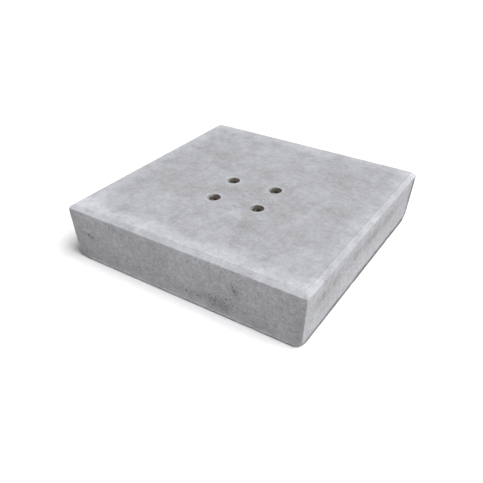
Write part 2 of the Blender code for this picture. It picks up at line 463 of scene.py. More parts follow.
def make_skin():
    fixed = [np.stack([UPPER_COLUMNS, np.full(len(UPPER_COLUMNS), t)], 1) for t in UPPER_ROWS]
    fixed += [np.stack([LOWER_COLUMNS, np.full(len(LOWER_COLUMNS), t)], 1) for t in LOWER_ROWS]
    top_count, bottom_start = len(UPPER_COLUMNS), len(UPPER_COLUMNS) * len(UPPER_ROWS) + len(LOWER_COLUMNS) * (len(LOWER_ROWS) - 1)
    t0, t1 = UPPER_ROWS[-1], LOWER_ROWS[0]
    between = t0 + (t1 - t0) * np.arange(1, 30) / 30
    for side in range(4):
        a = side * SEGMENT + SIDE_LENGTH
        for s in list(a + CORNER_LENGTH * np.arange(CORNER_STEPS + 1) / CORNER_STEPS):
            fixed.append(np.stack([np.full(len(between), s % PERIOD), between], 1))
    fixed = np.concatenate(fixed)
    arcs = corner_arcs(fixed)
    loose = [
        lattice(side * SEGMENT + 0.0021, side * SEGMENT + SIDE_LENGTH - 0.0021, t0 + 0.0019, t1 - 0.0022, STEP, rng)
        for side in range(4)
    ]
    points = with_holes(apart(np.concatenate(loose), arcs, 0.0008), np.concatenate([fixed, arcs]), SIDE_HOLES)
    count = len(points)
    seam = np.flatnonzero(points[:, 0] < 1e-9)
    points = np.concatenate([points, points[seam] + (PERIOD, 0.0)])
    flat = points * (1.0, -1.0)
    tris = triangulate(flat)
    home = np.concatenate([np.arange(count), seam])
    return points[:count], home[tris], np.arange(top_count), bottom_start + np.arange(len(LOWER_COLUMNS))


# ---------------------------------------------------------------------------
# Shape of the surface: how far a point stands in from the plain section, in metres
# ---------------------------------------------------------------------------
def worked(position, normal, on_top):
    """Hand-made unevenness: waves and trowel marks on the top, a flatter mould face on the sides."""
    p = position
    wave = 0.00020 * noise(p, 0.150, 11) + 0.00012 * noise(p, 0.052, 12) + 0.00006 * noise(p, 0.021, 13)
    mould = 0.00012 * noise(p, 0.130, 21) + 0.00005 * noise(p * (1, 1, 0.35), 0.026, 22) + 0.00003 * noise(p, 0.011, 23)
    q = p[:, :2] - np.array((-0.62, -0.55))
    sweep = np.hypot(q[:, 0], q[:, 1]) + 0.006 * noise(p, 0.120, 14)
    marks = 0.00005 * np.sin(sweep / 0.034 * 2.0 * math.pi) * smooth(-0.3, 0.6, noise(p, 0.085, 15))
    return on_top * (wave + marks) + (1.0 - on_top) * mould


CREASE_DEPTHS = {FRONT: 0.00050, RIGHT: 0.00004, BACK: 0.00016, LEFT: 0.00030}
CREASE_FILLS = {FRONT: 0.00004, RIGHT: 0.00046, BACK: 0.00034, LEFT: 0.00018}  # where floated paste softened the step


def crease(s, t, position):
    """The groove that the edging tool left where its sole ran along the flat top."""
    side = np.minimum(np.floor(s / SEGMENT), 3).astype(int)
    depth = np.array([CREASE_DEPTHS[k] for k in range(4)])[side]
    wander = 0.00022 * noise(position, 0.070, 31) + 0.00010 * noise(position, 0.016, 32)
    strength = smooth(-0.75, 0.10, noise(position, 0.060, 33) + 0.35)
    across = (t - 0.5 * (T_CREASE + T_CREASE_END) - wander) / 0.00062
    fill = np.array([CREASE_FILLS[k] for k in range(4)])[side]
    shoulder = np.exp(-(((t - T_CREASE_END) / 0.0016) ** 2)) - 0.55 * np.exp(-(((t - T_CREASE + 0.0011) / 0.0016) ** 2))
    return depth * strength * np.exp(-(across**2)), fill * shoulder


# Chips and rubbed spots on the arrises: (side, along, z, radius, depth)
CHIPS = [
    (FRONT, -0.236, 0.110, 0.0042, 0.00070),
    (FRONT, -0.171, 0.110, 0.0030, 0.00040),
    (FRONT, -0.047, 0.110, 0.0026, 0.00035),
    (FRONT, 0.128, 0.110, 0.0032, 0.00045),
    (FRONT, 0.206, 0.110, 0.0026, 0.00030),
    (FRONT, 0.241, 0.062, 0.0034, 0.00050),
    (FRONT, 0.240, 0.022, 0.0045, 0.00060),
    (FRONT, -0.092, 0.004, 0.0050, 0.00060),
    (FRONT, 0.153, 0.004, 0.0060, 0.00070),
    (RIGHT, -0.150, 0.110, 0.0030, 0.00040),
    (RIGHT, 0.035, 0.110, 0.0036, 0.00045),
    (RIGHT, 0.190, 0.110, 0.0028, 0.00040),
    (RIGHT, -0.040, 0.004, 0.0060, 0.00070),
    (RIGHT, 0.140, 0.004, 0.0050, 0.00060),
    (BACK, -0.210, 0.110, 0.0050, 0.00090),
    (BACK, 0.060, 0.110, 0.0034, 0.00050),
    (BACK, 0.170, 0.004, 0.0080, 0.00120),
    (BACK, -0.080, 0.004, 0.0050, 0.00060),
    (LEFT, 0.120, 0.110, 0.0040, 0.00060),
    (LEFT, -0.060, 0.110, 0.0030, 0.00040),
    (LEFT, 0.200, 0.004, 0.0070, 0.00100),
    (LEFT, -0.150, 0.004, 0.0055, 0.00070),
]


def chips(position):
    found = np.zeros(len(position))
    rough = 1.0 + 0.5 * noise(position, 0.0034, 41)
    for side, along, z, radius, depth in CHIPS:
        half = BASE + (EDGE - BASE) * z / CHAMFER_FOOT - (0.0015 if z < 0.01 else 0.0)
        centre = {
            FRONT: (along, -half, z),
            RIGHT: (half, along, z),
            BACK: (along, half, z),
            LEFT: (-half, along, z),
        }[side]
        d = (position - np.array(centre)) / (radius * np.array((1.5, 1.0, 1.0) if side in (FRONT, BACK) else (1.0, 1.5, 1.0)))
        rho = np.linalg.norm(d, axis=1)
        found = np.maximum(found, depth * (1.0 - smooth(0.35, 1.15, rho * rough)))
    return found


def rub_corners(position):
    """Takes a small curved patch off each of the four upper corners."""
    p = position.copy()
    reach = CUT_WIDTH * (1.0 + 0.10 * noise(p, 0.006, 47))
    half = np.where(p[:, 2] < CHAMFER_FOOT, BASE + (EDGE - BASE) * p[:, 2] / CHAMFER_FOOT, EDGE) - 0.00022
    drop = 1.0 - np.clip((CHAMFER_FOOT - p[:, 2]) / CUT_DROP, 0.0, 1.0)
    x, y = reach - (half - np.abs(p[:, 0])), reach - (half - np.abs(p[:, 1]))
    size = np.hypot(x, y)
    allowed = reach * np.sqrt(2.0 - drop**2)
    far = (x > 0) & (y > 0) & (size > allowed) & (drop > 0)
    k = allowed[far] / size[far]
    p[far, 0] = np.sign(p[far, 0]) * (half[far] - reach[far] + x[far] * k)
    p[far, 1] = np.sign(p[far, 1]) * (half[far] - reach[far] + y[far] * k)
    return p


# ---------------------------------------------------------------------------
# Tone of the surface
# ---------------------------------------------------------------------------
# Stains and pale patches of the top: (x, y, reach in x, reach in y, how much lighter)
TOP_PATCHES = [
    (-0.145, -0.060, 0.050, 0.045, -0.080),
    (-0.150, 0.100, 0.040, 0.035, -0.040),
    (0.050, 0.095, 0.055, 0.035, -0.040),
    (0.130, -0.110, 0.045, 0.040, -0.045),
    (0.070, -0.135, 0.070, 0.022, -0.055),
    (0.000, 0.150, 0.035, 0.022, -0.055),
    (0.000, -0.035, 0.075, 0.060, -0.035),
    (-0.065, 0.145, 0.045, 0.020, 0.055),
    (0.060, 0.148, 0.040, 0.020, 0.050),
    (-0.005, 0.022, 0.022, 0.014, 0.055),
    (-0.015, -0.090, 0.030, 0.018, 0.045),
    (0.035, -0.105, 0.035, 0.018, 0.050),
    (0.085, 0.020, 0.035, 0.030, 0.040),
    (0.150, 0.030, 0.060, 0.090, 0.035),
    (0.190, -0.180, 0.045, 0.040, 0.060),
    (-0.100, -0.185, 0.090, 0.030, 0.060),
]
# Marks of the sides: (side, along, z, reach along, reach in z, how much lighter)
SIDE_PATCHES = [
    (FRONT, 0.058, 0.032, 0.055, 0.014, -0.090),
    (FRONT, 0.088, 0.030, 0.024, 0.014, -0.200),
    (FRONT, 0.028, 0.024, 0.026, 0.008, -0.090),
    (FRONT, 0.117, 0.069, 0.010, 0.011, -0.230),
    (FRONT, -0.215, 0.020, 0.040, 0.030, -0.060),
    (FRONT, 0.238, 0.045, 0.014, 0.060, -0.090),
    (FRONT, -0.203, 0.059, 0.015, 0.008, -0.110),
    (FRONT, 0.042, 0.102, 0.007, 0.004, 0.110),
    (FRONT, -0.120, 0.060, 0.050, 0.030, 0.035),
    (FRONT, 0.175, 0.070, 0.040, 0.030, 0.030),
    (RIGHT, -0.187, 0.074, 0.025, 0.013, -0.190),
    (RIGHT, -0.137, 0.075, 0.020, 0.013, -0.155),
    (RIGHT, -0.054, 0.077, 0.016, 0.012, -0.180),
    (RIGHT, 0.023, 0.076, 0.044, 0.011, -0.200),
    (RIGHT, 0.114, 0.073, 0.034, 0.011, -0.185),
    (RIGHT, 0.232, 0.068, 0.012, 0.016, -0.080),
    (RIGHT, -0.005, 0.029, 0.050, 0.010, 0.040),
    (RIGHT, 0.205, 0.029, 0.024, 0.010, 0.045),
    (RIGHT, -0.030, 0.077, 0.190, 0.015, -0.060),
    (RIGHT, 0.100, 0.086, 0.160, 0.024, -0.050),
    (RIGHT, -0.060, 0.030, 0.200, 0.025, 0.030),
    (BACK, 0.110, 0.045, 0.040, 0.018, -0.090),
    (BACK, -0.070, 0.080, 0.120, 0.016, -0.060),
    (BACK, -0.160, 0.030, 0.060, 0.020, 0.050),
    (LEFT, -0.060, 0.038, 0.040, 0.016, -0.090),
    (LEFT, 0.120, 0.070, 0.090, 0.018, -0.055),
    (LEFT, 0.010, 0.090, 0.060, 0.014, 0.045),
]


def blob(a, b, ca, cb, ra, rb):
    return np.exp(-(((a - ca) / ra) ** 2) - ((b - cb) / rb) ** 2)


def top_tone(p):
    """Dried paste: pale round the border, cloudier and darker in the middle."""
    x, y = p[:, 0] + 0.010 * noise(p, 0.050, 51), p[:, 1] + 0.010 * noise(p, 0.050, 52)
    reach = 0.046 * (1.0 + 0.30 * noise(p, 0.070, 53) + 0.12 * noise(p, 0.018, 54))
    keep = np.ones(len(p))
    for gap, amount, wide in ((0.25 + x, 0.15, 1.1), (0.25 - x, 0.11, 1.0), (0.25 + y, 0.24, 1.3), (0.25 - y, 0.17, 1.1)):
        keep = keep * (1.0 - amount * (1.0 - smooth(0.30, 1.0, np.clip(gap, 0.0, 1.0) / (reach * wide))))
    tone = 1.0 / np.maximum(keep, 0.73)
    tone = tone - 0.16 * smooth(0.2400, 0.2440, -p[:, 1])
    nearby = 1.0 - smooth(-0.235, -0.140, p[:, 1])
    tone = tone - smooth(0.2400, 0.2435, p[:, 0]) * (0.08 + 0.12 * (1.0 - smooth(-0.246, -0.205, p[:, 1])))
    tone = tone + 0.075 * nearby * smooth(0.2270, 0.2390, p[:, 0]) * (1.0 - smooth(0.2405, 0.2440, p[:, 0]))
    for cx, cy, rx, ry, amount in TOP_PATCHES:
        tone = tone + amount * blob(x, y, cx, cy, rx, ry)
    for cx, cy in CENTRES.values():
        r = np.hypot(p[:, 0] - cx, p[:, 1] - cy)
        tone = tone + 0.105 * (1.0 - smooth(0.0155, 0.0220, r + 0.0015 * noise(p, 0.012, 55)))
    return tone


def side_tone(p, s):
    side = np.minimum(np.floor((s % PERIOD) / SEGMENT), 3).astype(int)
    along = np.where((side == FRONT) | (side == BACK), p[:, 0], p[:, 1]) + 0.006 * noise(p, 0.030, 61)
    z = p[:, 2] + 0.005 * noise(p, 0.034, 62)
    # Painted shade: the front face gets a darker base tone than the other sides.
    tone = np.array([0.895, 0.955, 0.94, 0.94])[side]
    # Painted shade: the front, back and left sides are darker towards the foot and a little lighter just under the
    # chamfer.
    low = 1.0 - smooth(0.0, 0.095, z)
    tone -= np.array([0.05, 0.0, 0.05, 0.05])[side] * low
    tone += np.array([0.04, 0.0, 0.05, 0.05])[side] * smooth(0.088, 0.108, z)
    tone += np.where(side == RIGHT, 0.065, 0.0) * smooth(0.0985, 0.1095, p[:, 2])
    inner = 1.0 - smooth(0.212, 0.234, np.abs(p[:, 0]))
    # Painted light: the lowest band of the front is lightened to cancel the shade under its rounded arris.
    tone += np.where(side == FRONT, 0.14, 0.0) * (1.0 - smooth(0.004, 0.020, p[:, 2])) * inner
    tone += np.where(side == FRONT, 0.40, 0.0) * (1.0 - smooth(0.0048, 0.0088, p[:, 2])) * inner
    # Painted shade: a dark band along the foot of the sides, strongest on the right, and a dark strip on the right face
    # by its back upright edge.
    rise = 0.0026 * smooth(-0.20, 0.05, p[:, 1]) - 0.0022 * (1.0 - smooth(-0.24, -0.12, p[:, 1]))
    foot_shade = 1.0 - smooth(0.0085, 0.0190, p[:, 2] - rise + 0.0019 * noise(p, 0.022, 63) + 0.0010 * noise(p, 0.006, 65))
    far = smooth(0.2270, 0.2405, p[:, 1] + 0.0022 * noise(p, 0.018, 64)) * smooth(0.22, 0.24, p[:, 0]) * (1.0 - smooth(0.0990, 0.1080, p[:, 2]))
    tone -= np.array([0.0, 0.62, 0.16, 0.16])[side] * np.where(side == RIGHT, np.maximum(foot_shade, 0.90 * far), foot_shade)
    tone -= np.where(side == FRONT, 0.040, 0.0) * (1.0 - smooth(-0.09, 0.03, along))
    tone -= np.where(side == FRONT, 0.045, 0.0) * ((1.0 - smooth(-0.238, -0.212, along)) + smooth(0.120, 0.190, along))
    tone -= np.where(side == RIGHT, 0.060, 0.0) * smooth(0.190, 0.235, along)
    for k, ca, cz, ra, rz, amount in SIDE_PATCHES:
        tone = tone + np.where(side == k, amount * blob(along, z, ca, cz, ra, rz), 0.0)
    line = np.exp(-(((p[:, 2] - 0.0755) / 0.0011) ** 2)) * smooth(0.135, 0.155, p[:, 1]) * (1.0 - smooth(0.205, 0.222, p[:, 1]))
    return tone - np.where(side == RIGHT, 0.16 * line, 0.0)


# ---------------------------------------------------------------------------
# The block
# ---------------------------------------------------------------------------
def mesh_from(name, verts, tris, attributes, material):
    mesh = bpy.data.meshes.new(name)
    mesh.vertices.add(len(verts))
    mesh.vertices.foreach_set("co", np.asarray(verts, np.float32).ravel())
    mesh.loops.add(len(tris) * 3)
    mesh.loops.foreach_set("vertex_index", np.asarray(tris, np.int32).ravel())
    mesh.polygons.add(len(tris))
    mesh.polygons.foreach_set("loop_start", np.arange(len(tris), dtype=np.int32) * 3)
    mesh.update(calc_edges=True)
    mesh.validate()
    for key, values in attributes.items():
        layer = mesh.attributes.new(key, "FLOAT", "POINT")
        layer.data.foreach_set("value", np.asarray(values, np.float32))
    mesh.materials.append(material)
    mesh.shade_smooth()
    obj = bpy.data.objects.new(name, mesh)
    bpy.context.scene.collection.objects.link(obj)
    return obj


def open_edges(tris):
    """How many edges don't have exactly two faces: 0 on a closed skin."""
    edges = np.sort(np.concatenate([tris[:, [0, 1]], tris[:, [1, 2]], tris[:, [2, 0]]]), axis=1)
    _, counts = np.unique(edges, axis=0, return_counts=True)
    return int((counts != 2).sum())


def pocket_profile():
    """(r, z) of a mouth and the pocket under it, from the ring in the top inward and down."""
    lip = fillet((MOUTH_RADIUS + 0.02, HEIGHT), (MOUTH_RADIUS, HEIGHT), (RECESS_FLOOR_RADIUS, SOCKET_TOP), LIP_RADIUS, 5)
    seat = fillet((MOUTH_RADIUS, HEIGHT), (RECESS_FLOOR_RADIUS, SOCKET_TOP), (0.0, SOCKET_TOP), 0.0005, 3)
    foot = SOCKET_TOP - SOCKET_LENGTH
    rows = [(MOUTH_RING, HEIGHT), (0.5 * (MOUTH_RING + lip[0][0]), HEIGHT)] + lip
    for share in (0.25, 0.5, 0.75):
        rows.append((lip[-1][0] + (seat[0][0] - lip[-1][0]) * share, lip[-1][1] + (seat[0][1] - lip[-1][1]) * share))
    wall = SOCKET_RADIUS + GAP
    rows += seat + [(wall + 0.0004, SOCKET_TOP), (wall, SOCKET_TOP - 0.0003), (wall, SOCKET_TOP - 0.004), (wall, SOCKET_TOP - 0.016), (wall, SOCKET_TOP - 0.032)]
    rows += [
        (wall, foot + FOOT_HEIGHT + FLARE_HEIGHT + GAP),
        (FOOT_RADIUS + GAP, foot + FOOT_HEIGHT + GAP),
        (FOOT_RADIUS + GAP, foot - GAP),
        (0.5 * FOOT_RADIUS, foot - GAP),
    ]
    return rows, len(lip) + 2, foot - GAP


def make_block(material):
    verts, tris = [], []
    tone, dirt_and_shade, side_share, border = [], [], [], []

    # sides
    points, skin_tris, top_ring, bottom_ring = make_skin()
    s, t = points[:, 0], points[:, 1]
    position, normal = skin(s, t)
    on_top = 1.0 - smooth(T_CREASE_END, T_EDGE[3], t)
    deep, grime_and_shade = holes_at(points, SIDE_HOLES)
    inward = 0.00026 - worked(position, normal, on_top)
    lower = smooth(T_ARRIS[0] - 0.006, T_ARRIS[8], t)
    inward = inward * (1.0 - smooth(T_ARRIS[4], T_END, t)) + 0.00002
    groove, filled = crease(s, t, position)
    near_edge = np.exp(-(((t - T_EDGE[3]) / 0.0022) ** 2))
    upright = np.minimum((s % SEGMENT), SEGMENT - (s % SEGMENT)) - 0.5 * CORNER_LENGTH
    near_corner = np.exp(-(np.clip(np.abs(((s % SEGMENT) - SIDE_LENGTH - 0.5 * CORNER_LENGTH + 0.5 * SEGMENT) % SEGMENT - 0.5 * SEGMENT), 0, None) / 0.0045) ** 2)
    wear = np.maximum(np.maximum(near_edge, 0.8 * lower * (1.0 - smooth(T_ARRIS[6], T_END, t))), near_corner * smooth(0.006, 0.014, t) * (1.0 - smooth(T_ARRIS[6], T_END, t)))
    rough = np.abs(noise(position, 0.0062, 42)) + 0.6 * np.abs(noise(position, 0.0028, 43))
    bits = 0.00030 * wear * rough * smooth(-0.35, 0.5, noise(position, 0.040, 44))
    step = np.where(
        (np.floor(s / SEGMENT) == RIGHT),
        0.00016 * smooth(0.0748, 0.0762, position[:, 2]) * smooth(0.12, 0.15, position[:, 1]) * (1.0 - smooth(0.205, 0.23, position[:, 1])) * (1.0 - smooth(0.080, 0.092, position[:, 2])),
        0.0,
    )
    chipped = chips(position)
    shaped = position - normal * (inward + deep + groove - filled + bits + chipped + step)[:, None]
    shaped = rub_corners(shaped)
    verts.append(shaped)
    tris.append(skin_tris)
    edge_light = (0.03 * near_edge + 0.02 * near_corner * (1.0 - on_top)) * (1.0 - smooth(T_ARRIS[0] - 0.004, T_ARRIS[2], t))
    blend = smooth(T_EDGE[0], T_EDGE[-1] + 0.0015, t)
    # Painted shade in the crease: the tone is darkened and dark soil mixed in where the groove runs deep.
    crease_shade = 0.15 + 0.20 * (np.floor(s / SEGMENT) == FRONT) * smooth(-0.06, 0.03, position[:, 0]) * (1.0 - smooth(0.195, 0.225, position[:, 0]))
    tone.append(top_tone(position) * (1.0 - blend) + side_tone(position, s) * blend + edge_light - crease_shade * groove / 0.0006)
    dirt_and_shade.append(np.maximum(grime_and_shade, 0.25 * smooth(0.3, 1.0, groove / 0.0006)))
    side_share.append(blend)
    border.append((1.0 - blend) * (1.0 - 0.5 * smooth(0.0, 0.5, np.abs(noise(position, 0.03, 45)))))
    count = len(points)

    # flat top, round the four mouths
    rim_angles = np.arange(MOUTH_STEPS) / MOUTH_STEPS * 2.0 * math.pi
    rims, rim_owner = [], []
    for i, (cx, cy) in enumerate(CENTRES.values()):
        rims.append(np.stack([cx + MOUTH_RING * np.cos(rim_angles), cy + MOUTH_RING * np.sin(rim_angles)], 1))
        rim_owner += [i] * MOUTH_STEPS
    rims = np.concatenate(rims)
    ring_xy = position[top_ring][:, :2]
    field = lattice(-RING + 0.0030, RING - 0.0030, -RING + 0.0030, RING - 0.0030, 0.00328, rng)
    for i, (cx, cy) in enumerate(CENTRES.values()):
        r = np.hypot(field[:, 0] - cx, field[:, 1] - cy)
        field = field[r > MOUTH_RING + 0.0026]
        a = (np.arange(48) + 0.5) / 48 * 2.0 * math.pi
        field = np.concatenate([field, np.stack([cx + (MOUTH_RING + 0.0016) * np.cos(a), cy + (MOUTH_RING + 0.0016) * np.sin(a)], 1)])
    fixed = np.concatenate([ring_xy, rims])
    top_points = with_holes(field, fixed, TOP_HOLES)
    top_tris = triangulate(top_points)
    owner = np.full(len(top_points), -1)
    owner[len(ring_xy) : len(fixed)] = rim_owner
    o = owner[top_tris]
    inside = (o[:, 0] >= 0) & (o[:, 0] == o[:, 1]) & (o[:, 1] == o[:, 2])
    top_tris = top_tris[~inside]
    new = top_points[len(ring_xy) :]
    p = np.column_stack([new, np.full(len(new), HEIGHT)])
    up = np.tile((0.0, 0.0, 1.0), (len(new), 1))
    deep, grime_and_shade = holes_at(new, TOP_HOLES)
    settle = np.zeros(len(new))
    for cx, cy in CENTRES.values():
        settle = np.maximum(settle, 0.00010 * (1.0 - smooth(0.014, 0.030, np.hypot(new[:, 0] - cx, new[:, 1] - cy))))
    sunk = 0.00026 - worked(p, up, np.ones(len(new))) + 0.00002
    home = np.concatenate([top_ring, count + np.arange(len(new))])
    verts.append(p - up * (sunk + deep + settle)[:, None])
    tris.append(home[top_tris])
    tone.append(top_tone(p))
    dirt_and_shade.append(grime_and_shade)
    side_share.append(np.zeros(len(new)))
    gap = 0.25 - np.max(np.abs(new), axis=1)
    border.append(1.0 - smooth(0.012, 0.050, gap + 0.010 * noise(p, 0.05, 46)))
    rim_start = count
    count += len(new)

    # mouths and pockets
    rows, lip_end, floor_z = pocket_profile()
    for i, (cx, cy) in enumerate(CENTRES.values()):
        ring = rim_start + i * MOUTH_STEPS + np.arange(MOUTH_STEPS)
        for k, (r, z) in enumerate(rows[1:], start=1):
            free = 1.0 - smooth(lip_end, lip_end + 3, k)
            q = np.column_stack([cx + r * np.cos(rim_angles), cy + r * np.sin(rim_angles), np.full(MOUTH_STEPS, z)])
            flat = np.column_stack([q[:, :2], np.full(MOUTH_STEPS, HEIGHT)])
            lift = (0.00026 - worked(flat, flat, np.ones(MOUTH_STEPS)) + 0.00012) * free
            ragged = (0.00016 * noise(q, 0.0060, 71) + 0.00008 * noise(q, 0.0022, 72)) * (1.0 if 1 < k < lip_end + 3 else 0.0)
            grow = 1.0 + ragged / r
            q[:, 0], q[:, 1] = cx + (q[:, 0] - cx) * grow, cy + (q[:, 1] - cy) * grow
            q[:, 2] -= lift
            new_ring = count + np.arange(MOUTH_STEPS)
            nxt = np.roll(np.arange(MOUTH_STEPS), -1)
            a, b, c, d = ring, ring[nxt], new_ring[nxt], new_ring
            tris.append(np.concatenate([np.stack([a, b, c], 1), np.stack([a, c, d], 1)]))
            verts.append(q)
            # Painted shade in each mouth: the tone falls and dark soil comes in with depth, partly dirt and partly
            # painted shade, with a painted shadow on one side of the recess. The pocket wall beside the socket and the
            # pocket's bottom are painted dark as shade between the parts.
            depth = float(smooth(0.0002, 0.0014, HEIGHT - z))
            share = (HEIGHT - z) / RECESS_DEPTH + (0.5 if r < RECESS_FLOOR_RADIUS - 0.0004 else 0.0)
            shadow_side = 0.5 + 0.5 * np.cos(rim_angles - math.radians(80.0)) + 0.25 * noise(flat, 0.009, 75)
            shadow_share = smooth(0.0, 1.0, (share - (2.0 - 1.9 * shadow_side)) / 0.34)
            tone.append(np.full(MOUTH_STEPS, 1.0 + 0.085 * (1 - depth) - 0.26 * depth) + 0.05 * depth * noise(q, 0.004, 73))
            dirt_and_shade.append(np.clip(0.20 * depth + 0.80 * shadow_share + 0.14 * depth * noise(q, 0.005, 74), 0.0, 1.0) if k < lip_end + 8 else np.full(MOUTH_STEPS, 0.95))
            side_share.append(np.full(MOUTH_STEPS, 0.0))
            border.append(np.full(MOUTH_STEPS, 0.0))
            ring = new_ring
            count += MOUTH_STEPS
        verts.append(np.array([[cx, cy, floor_z]]))
        tone.append([0.8]), dirt_and_shade.append([0.9]), side_share.append([0.0]), border.append([0.0])
        nxt = np.roll(np.arange(MOUTH_STEPS), -1)
        tris.append(np.stack([ring, ring[nxt], np.full(MOUTH_STEPS, count)], 1))
        count += 1

    # underside
    under_ring = position[bottom_ring][:, :2]
    reach = float(np.abs(under_ring).max())
    field = lattice(-reach + 0.0045, reach - 0.0045, -reach + 0.0045, reach - 0.0045, 0.0075, rng)
    round_off = np.clip(np.abs(field) - (reach - CORNER_R[-1]), 0.0, None)
    field = field[np.hypot(round_off[:, 0], round_off[:, 1]) < CORNER_R[-1] - 0.0040]
    under_points = with_holes(field, under_ring, UNDER_HOLES)
    under_tris = triangulate(under_points)[:, ::-1]
    new = under_points[len(under_ring) :]
    p = np.column_stack([new, np.zeros(len(new))])
    deep, grime_and_shade = holes_at(new, UNDER_HOLES)
    rise = 0.00002 + 0.00010 * smooth(0.0, 0.05, reach - np.max(np.abs(new), axis=1)) * (1.0 + noise(p, 0.06, 81)) * 0.5
    verts.append(p + np.array((0.0, 0.0, 1.0)) * (rise + deep)[:, None])
    home = np.concatenate([bottom_ring, count + np.arange(len(new))])
    tris.append(home[under_tris])
    tone.append(0.92 + 0.05 * noise(p, 0.09, 82))
    dirt_and_shade.append(grime_and_shade)
    side_share.append(np.ones(len(new)))
    border.append(np.zeros(len(new)))
    count += len(new)

    tris = np.concatenate(tris)
    print("block: triangles", len(tris), "open edges", open_edges(tris))
    attributes = {
        "tone": np.concatenate([np.asarray(v, float) for v in tone]),
        "dirt_and_shade": np.concatenate([np.asarray(v, float) for v in dirt_and_shade]),
        "moulded": np.concatenate([np.asarray(v, float) for v in side_share]),
        "laitance": np.concatenate([np.asarray(v, float) for v in border]),
    }
    return mesh_from("concrete_body", np.concatenate(verts), tris, attributes, material)


# ---------------------------------------------------------------------------
# Sockets
# ---------------------------------------------------------------------------
def make_socket(name, centre, start, material):
    """A turned steel socket with a real helical thread. start is where the thread begins, in radians."""
    steps = 40
    foot = SOCKET_TOP - SOCKET_LENGTH
    bottom = SOCKET_TOP - BORE_DEPTH
    # The last column is grime, with painted light where it thins deeper in the threads.
    rows = [  # (r, z, wear, grime)
        (0.55 * FOOT_RADIUS, foot, 0.0, 0.2),
        (FOOT_RADIUS - 0.0004, foot, 0.0, 0.2),
        (FOOT_RADIUS, foot + 0.0004, 0.0, 0.2),
        (FOOT_RADIUS, foot + FOOT_HEIGHT, 0.0, 0.2),
        (SOCKET_RADIUS, foot + FOOT_HEIGHT + FLARE_HEIGHT, 0.0, 0.2),
        (SOCKET_RADIUS, SOCKET_TOP - 0.020, 0.0, 0.2),
        (SOCKET_RADIUS, SOCKET_TOP - 0.003, 0.0, 0.6),
        (SOCKET_RADIUS, SOCKET_TOP - RIM_BREAK, 0.2, 0.8),
        (SOCKET_RADIUS - 0.3 * RIM_BREAK, SOCKET_TOP - 0.3 * RIM_BREAK, 0.2, 0.9),
        (SOCKET_RADIUS - RIM_BREAK, SOCKET_TOP, 0.1, 0.95),
        (0.5 * (SOCKET_RADIUS + BORE_RADIUS + RIM_CHAMFER), SOCKET_TOP - 0.00004, 0.0, 0.95),
        (BORE_RADIUS + RIM_CHAMFER + 0.00018, SOCKET_TOP, 0.1, 0.92),
        (BORE_RADIUS + RIM_CHAMFER, SOCKET_TOP - 0.00012, 0.2, 0.88),
    ]
    z = SOCKET_TOP - 0.00040
    dz = THREAD_PITCH / 6.0
    while z > bottom + 0.0002:
        rows.append((None, z, 0.0, 0.0))
        z -= dz
    rows += [(BORE_RADIUS - 0.0001, bottom, 0.0, 1.0), (0.5 * BORE_RADIUS, bottom - 0.5 * BORE_TIP, 0.0, 1.0)]
    angle = np.arange(steps) / steps * 2.0 * math.pi
    verts, tris, wear, grime_and_shade = [], [], [], []
    verts.append([(centre[0], centre[1], foot)])
    wear.append([0.0]), grime_and_shade.append([0.2])
    ring, count = None, 1
    nxt = np.roll(np.arange(steps), -1)
    for r, z, w, g in rows:
        if r is None:
            turn = np.mod((SOCKET_TOP - z) / THREAD_PITCH - (angle - start) / (2.0 * math.pi), 1.0)
            crest = np.clip((np.abs(2.0 * turn - 1.0) - 0.12) / 0.74, 0.0, 1.0)
            fade = smooth(bottom, bottom + 0.004, z)
            radius = BORE_RADIUS - 0.00005 + THREAD_DEPTH * crest * fade
            entry = BORE_RADIUS + RIM_CHAMFER - (SOCKET_TOP - 0.00012 - z)
            on_entry = radius < entry
            radius = np.maximum(radius, entry)
            deep = smooth(0.0012, 0.012, SOCKET_TOP - z)
            w = np.where(on_entry, 0.10, 0.25 * (1.0 - crest)) * (1.0 - 0.5 * deep)
            # Painted light: grime thins out deeper in the bore, against the bore's own shade.
            g = np.clip(np.where(on_entry, 0.92, 0.70 + 0.20 * crest) - 0.42 * smooth(0.0010, 0.0050, SOCKET_TOP - z), 0.0, 1.0)
        else:
            radius = np.full(steps, r)
            w, g = np.full(steps, w), np.full(steps, g)
        verts.append(np.column_stack([centre[0] + radius * np.cos(angle), centre[1] + radius * np.sin(angle), np.full(steps, z)]))
        wear.append(w), grime_and_shade.append(g)
        new = count + np.arange(steps)
        if ring is None:
            tris.append(np.stack([np.zeros(steps, int), new[nxt], new], 1))
        else:
            tris.append(np.concatenate([np.stack([ring, ring[nxt], new[nxt]], 1), np.stack([ring, new[nxt], new], 1)]))
        ring = new
        count += steps
    verts.append([(centre[0], centre[1], bottom - BORE_TIP)])
    wear.append([0.0]), grime_and_shade.append([1.0])
    tris.append(np.stack([ring, ring[nxt], np.full(steps, count)], 1))
    tris = np.concatenate(tris)
    print(name, "triangles", len(tris), "open edges", open_edges(tris))
    attributes = {"wear": np.concatenate([np.asarray(v, float) for v in wear]), "grime_and_shade": np.concatenate([np.asarray(v, float) for v in grime_and_shade])}
    return mesh_from(name, np.concatenate([np.asarray(v, float) for v in verts]), tris, attributes, material)


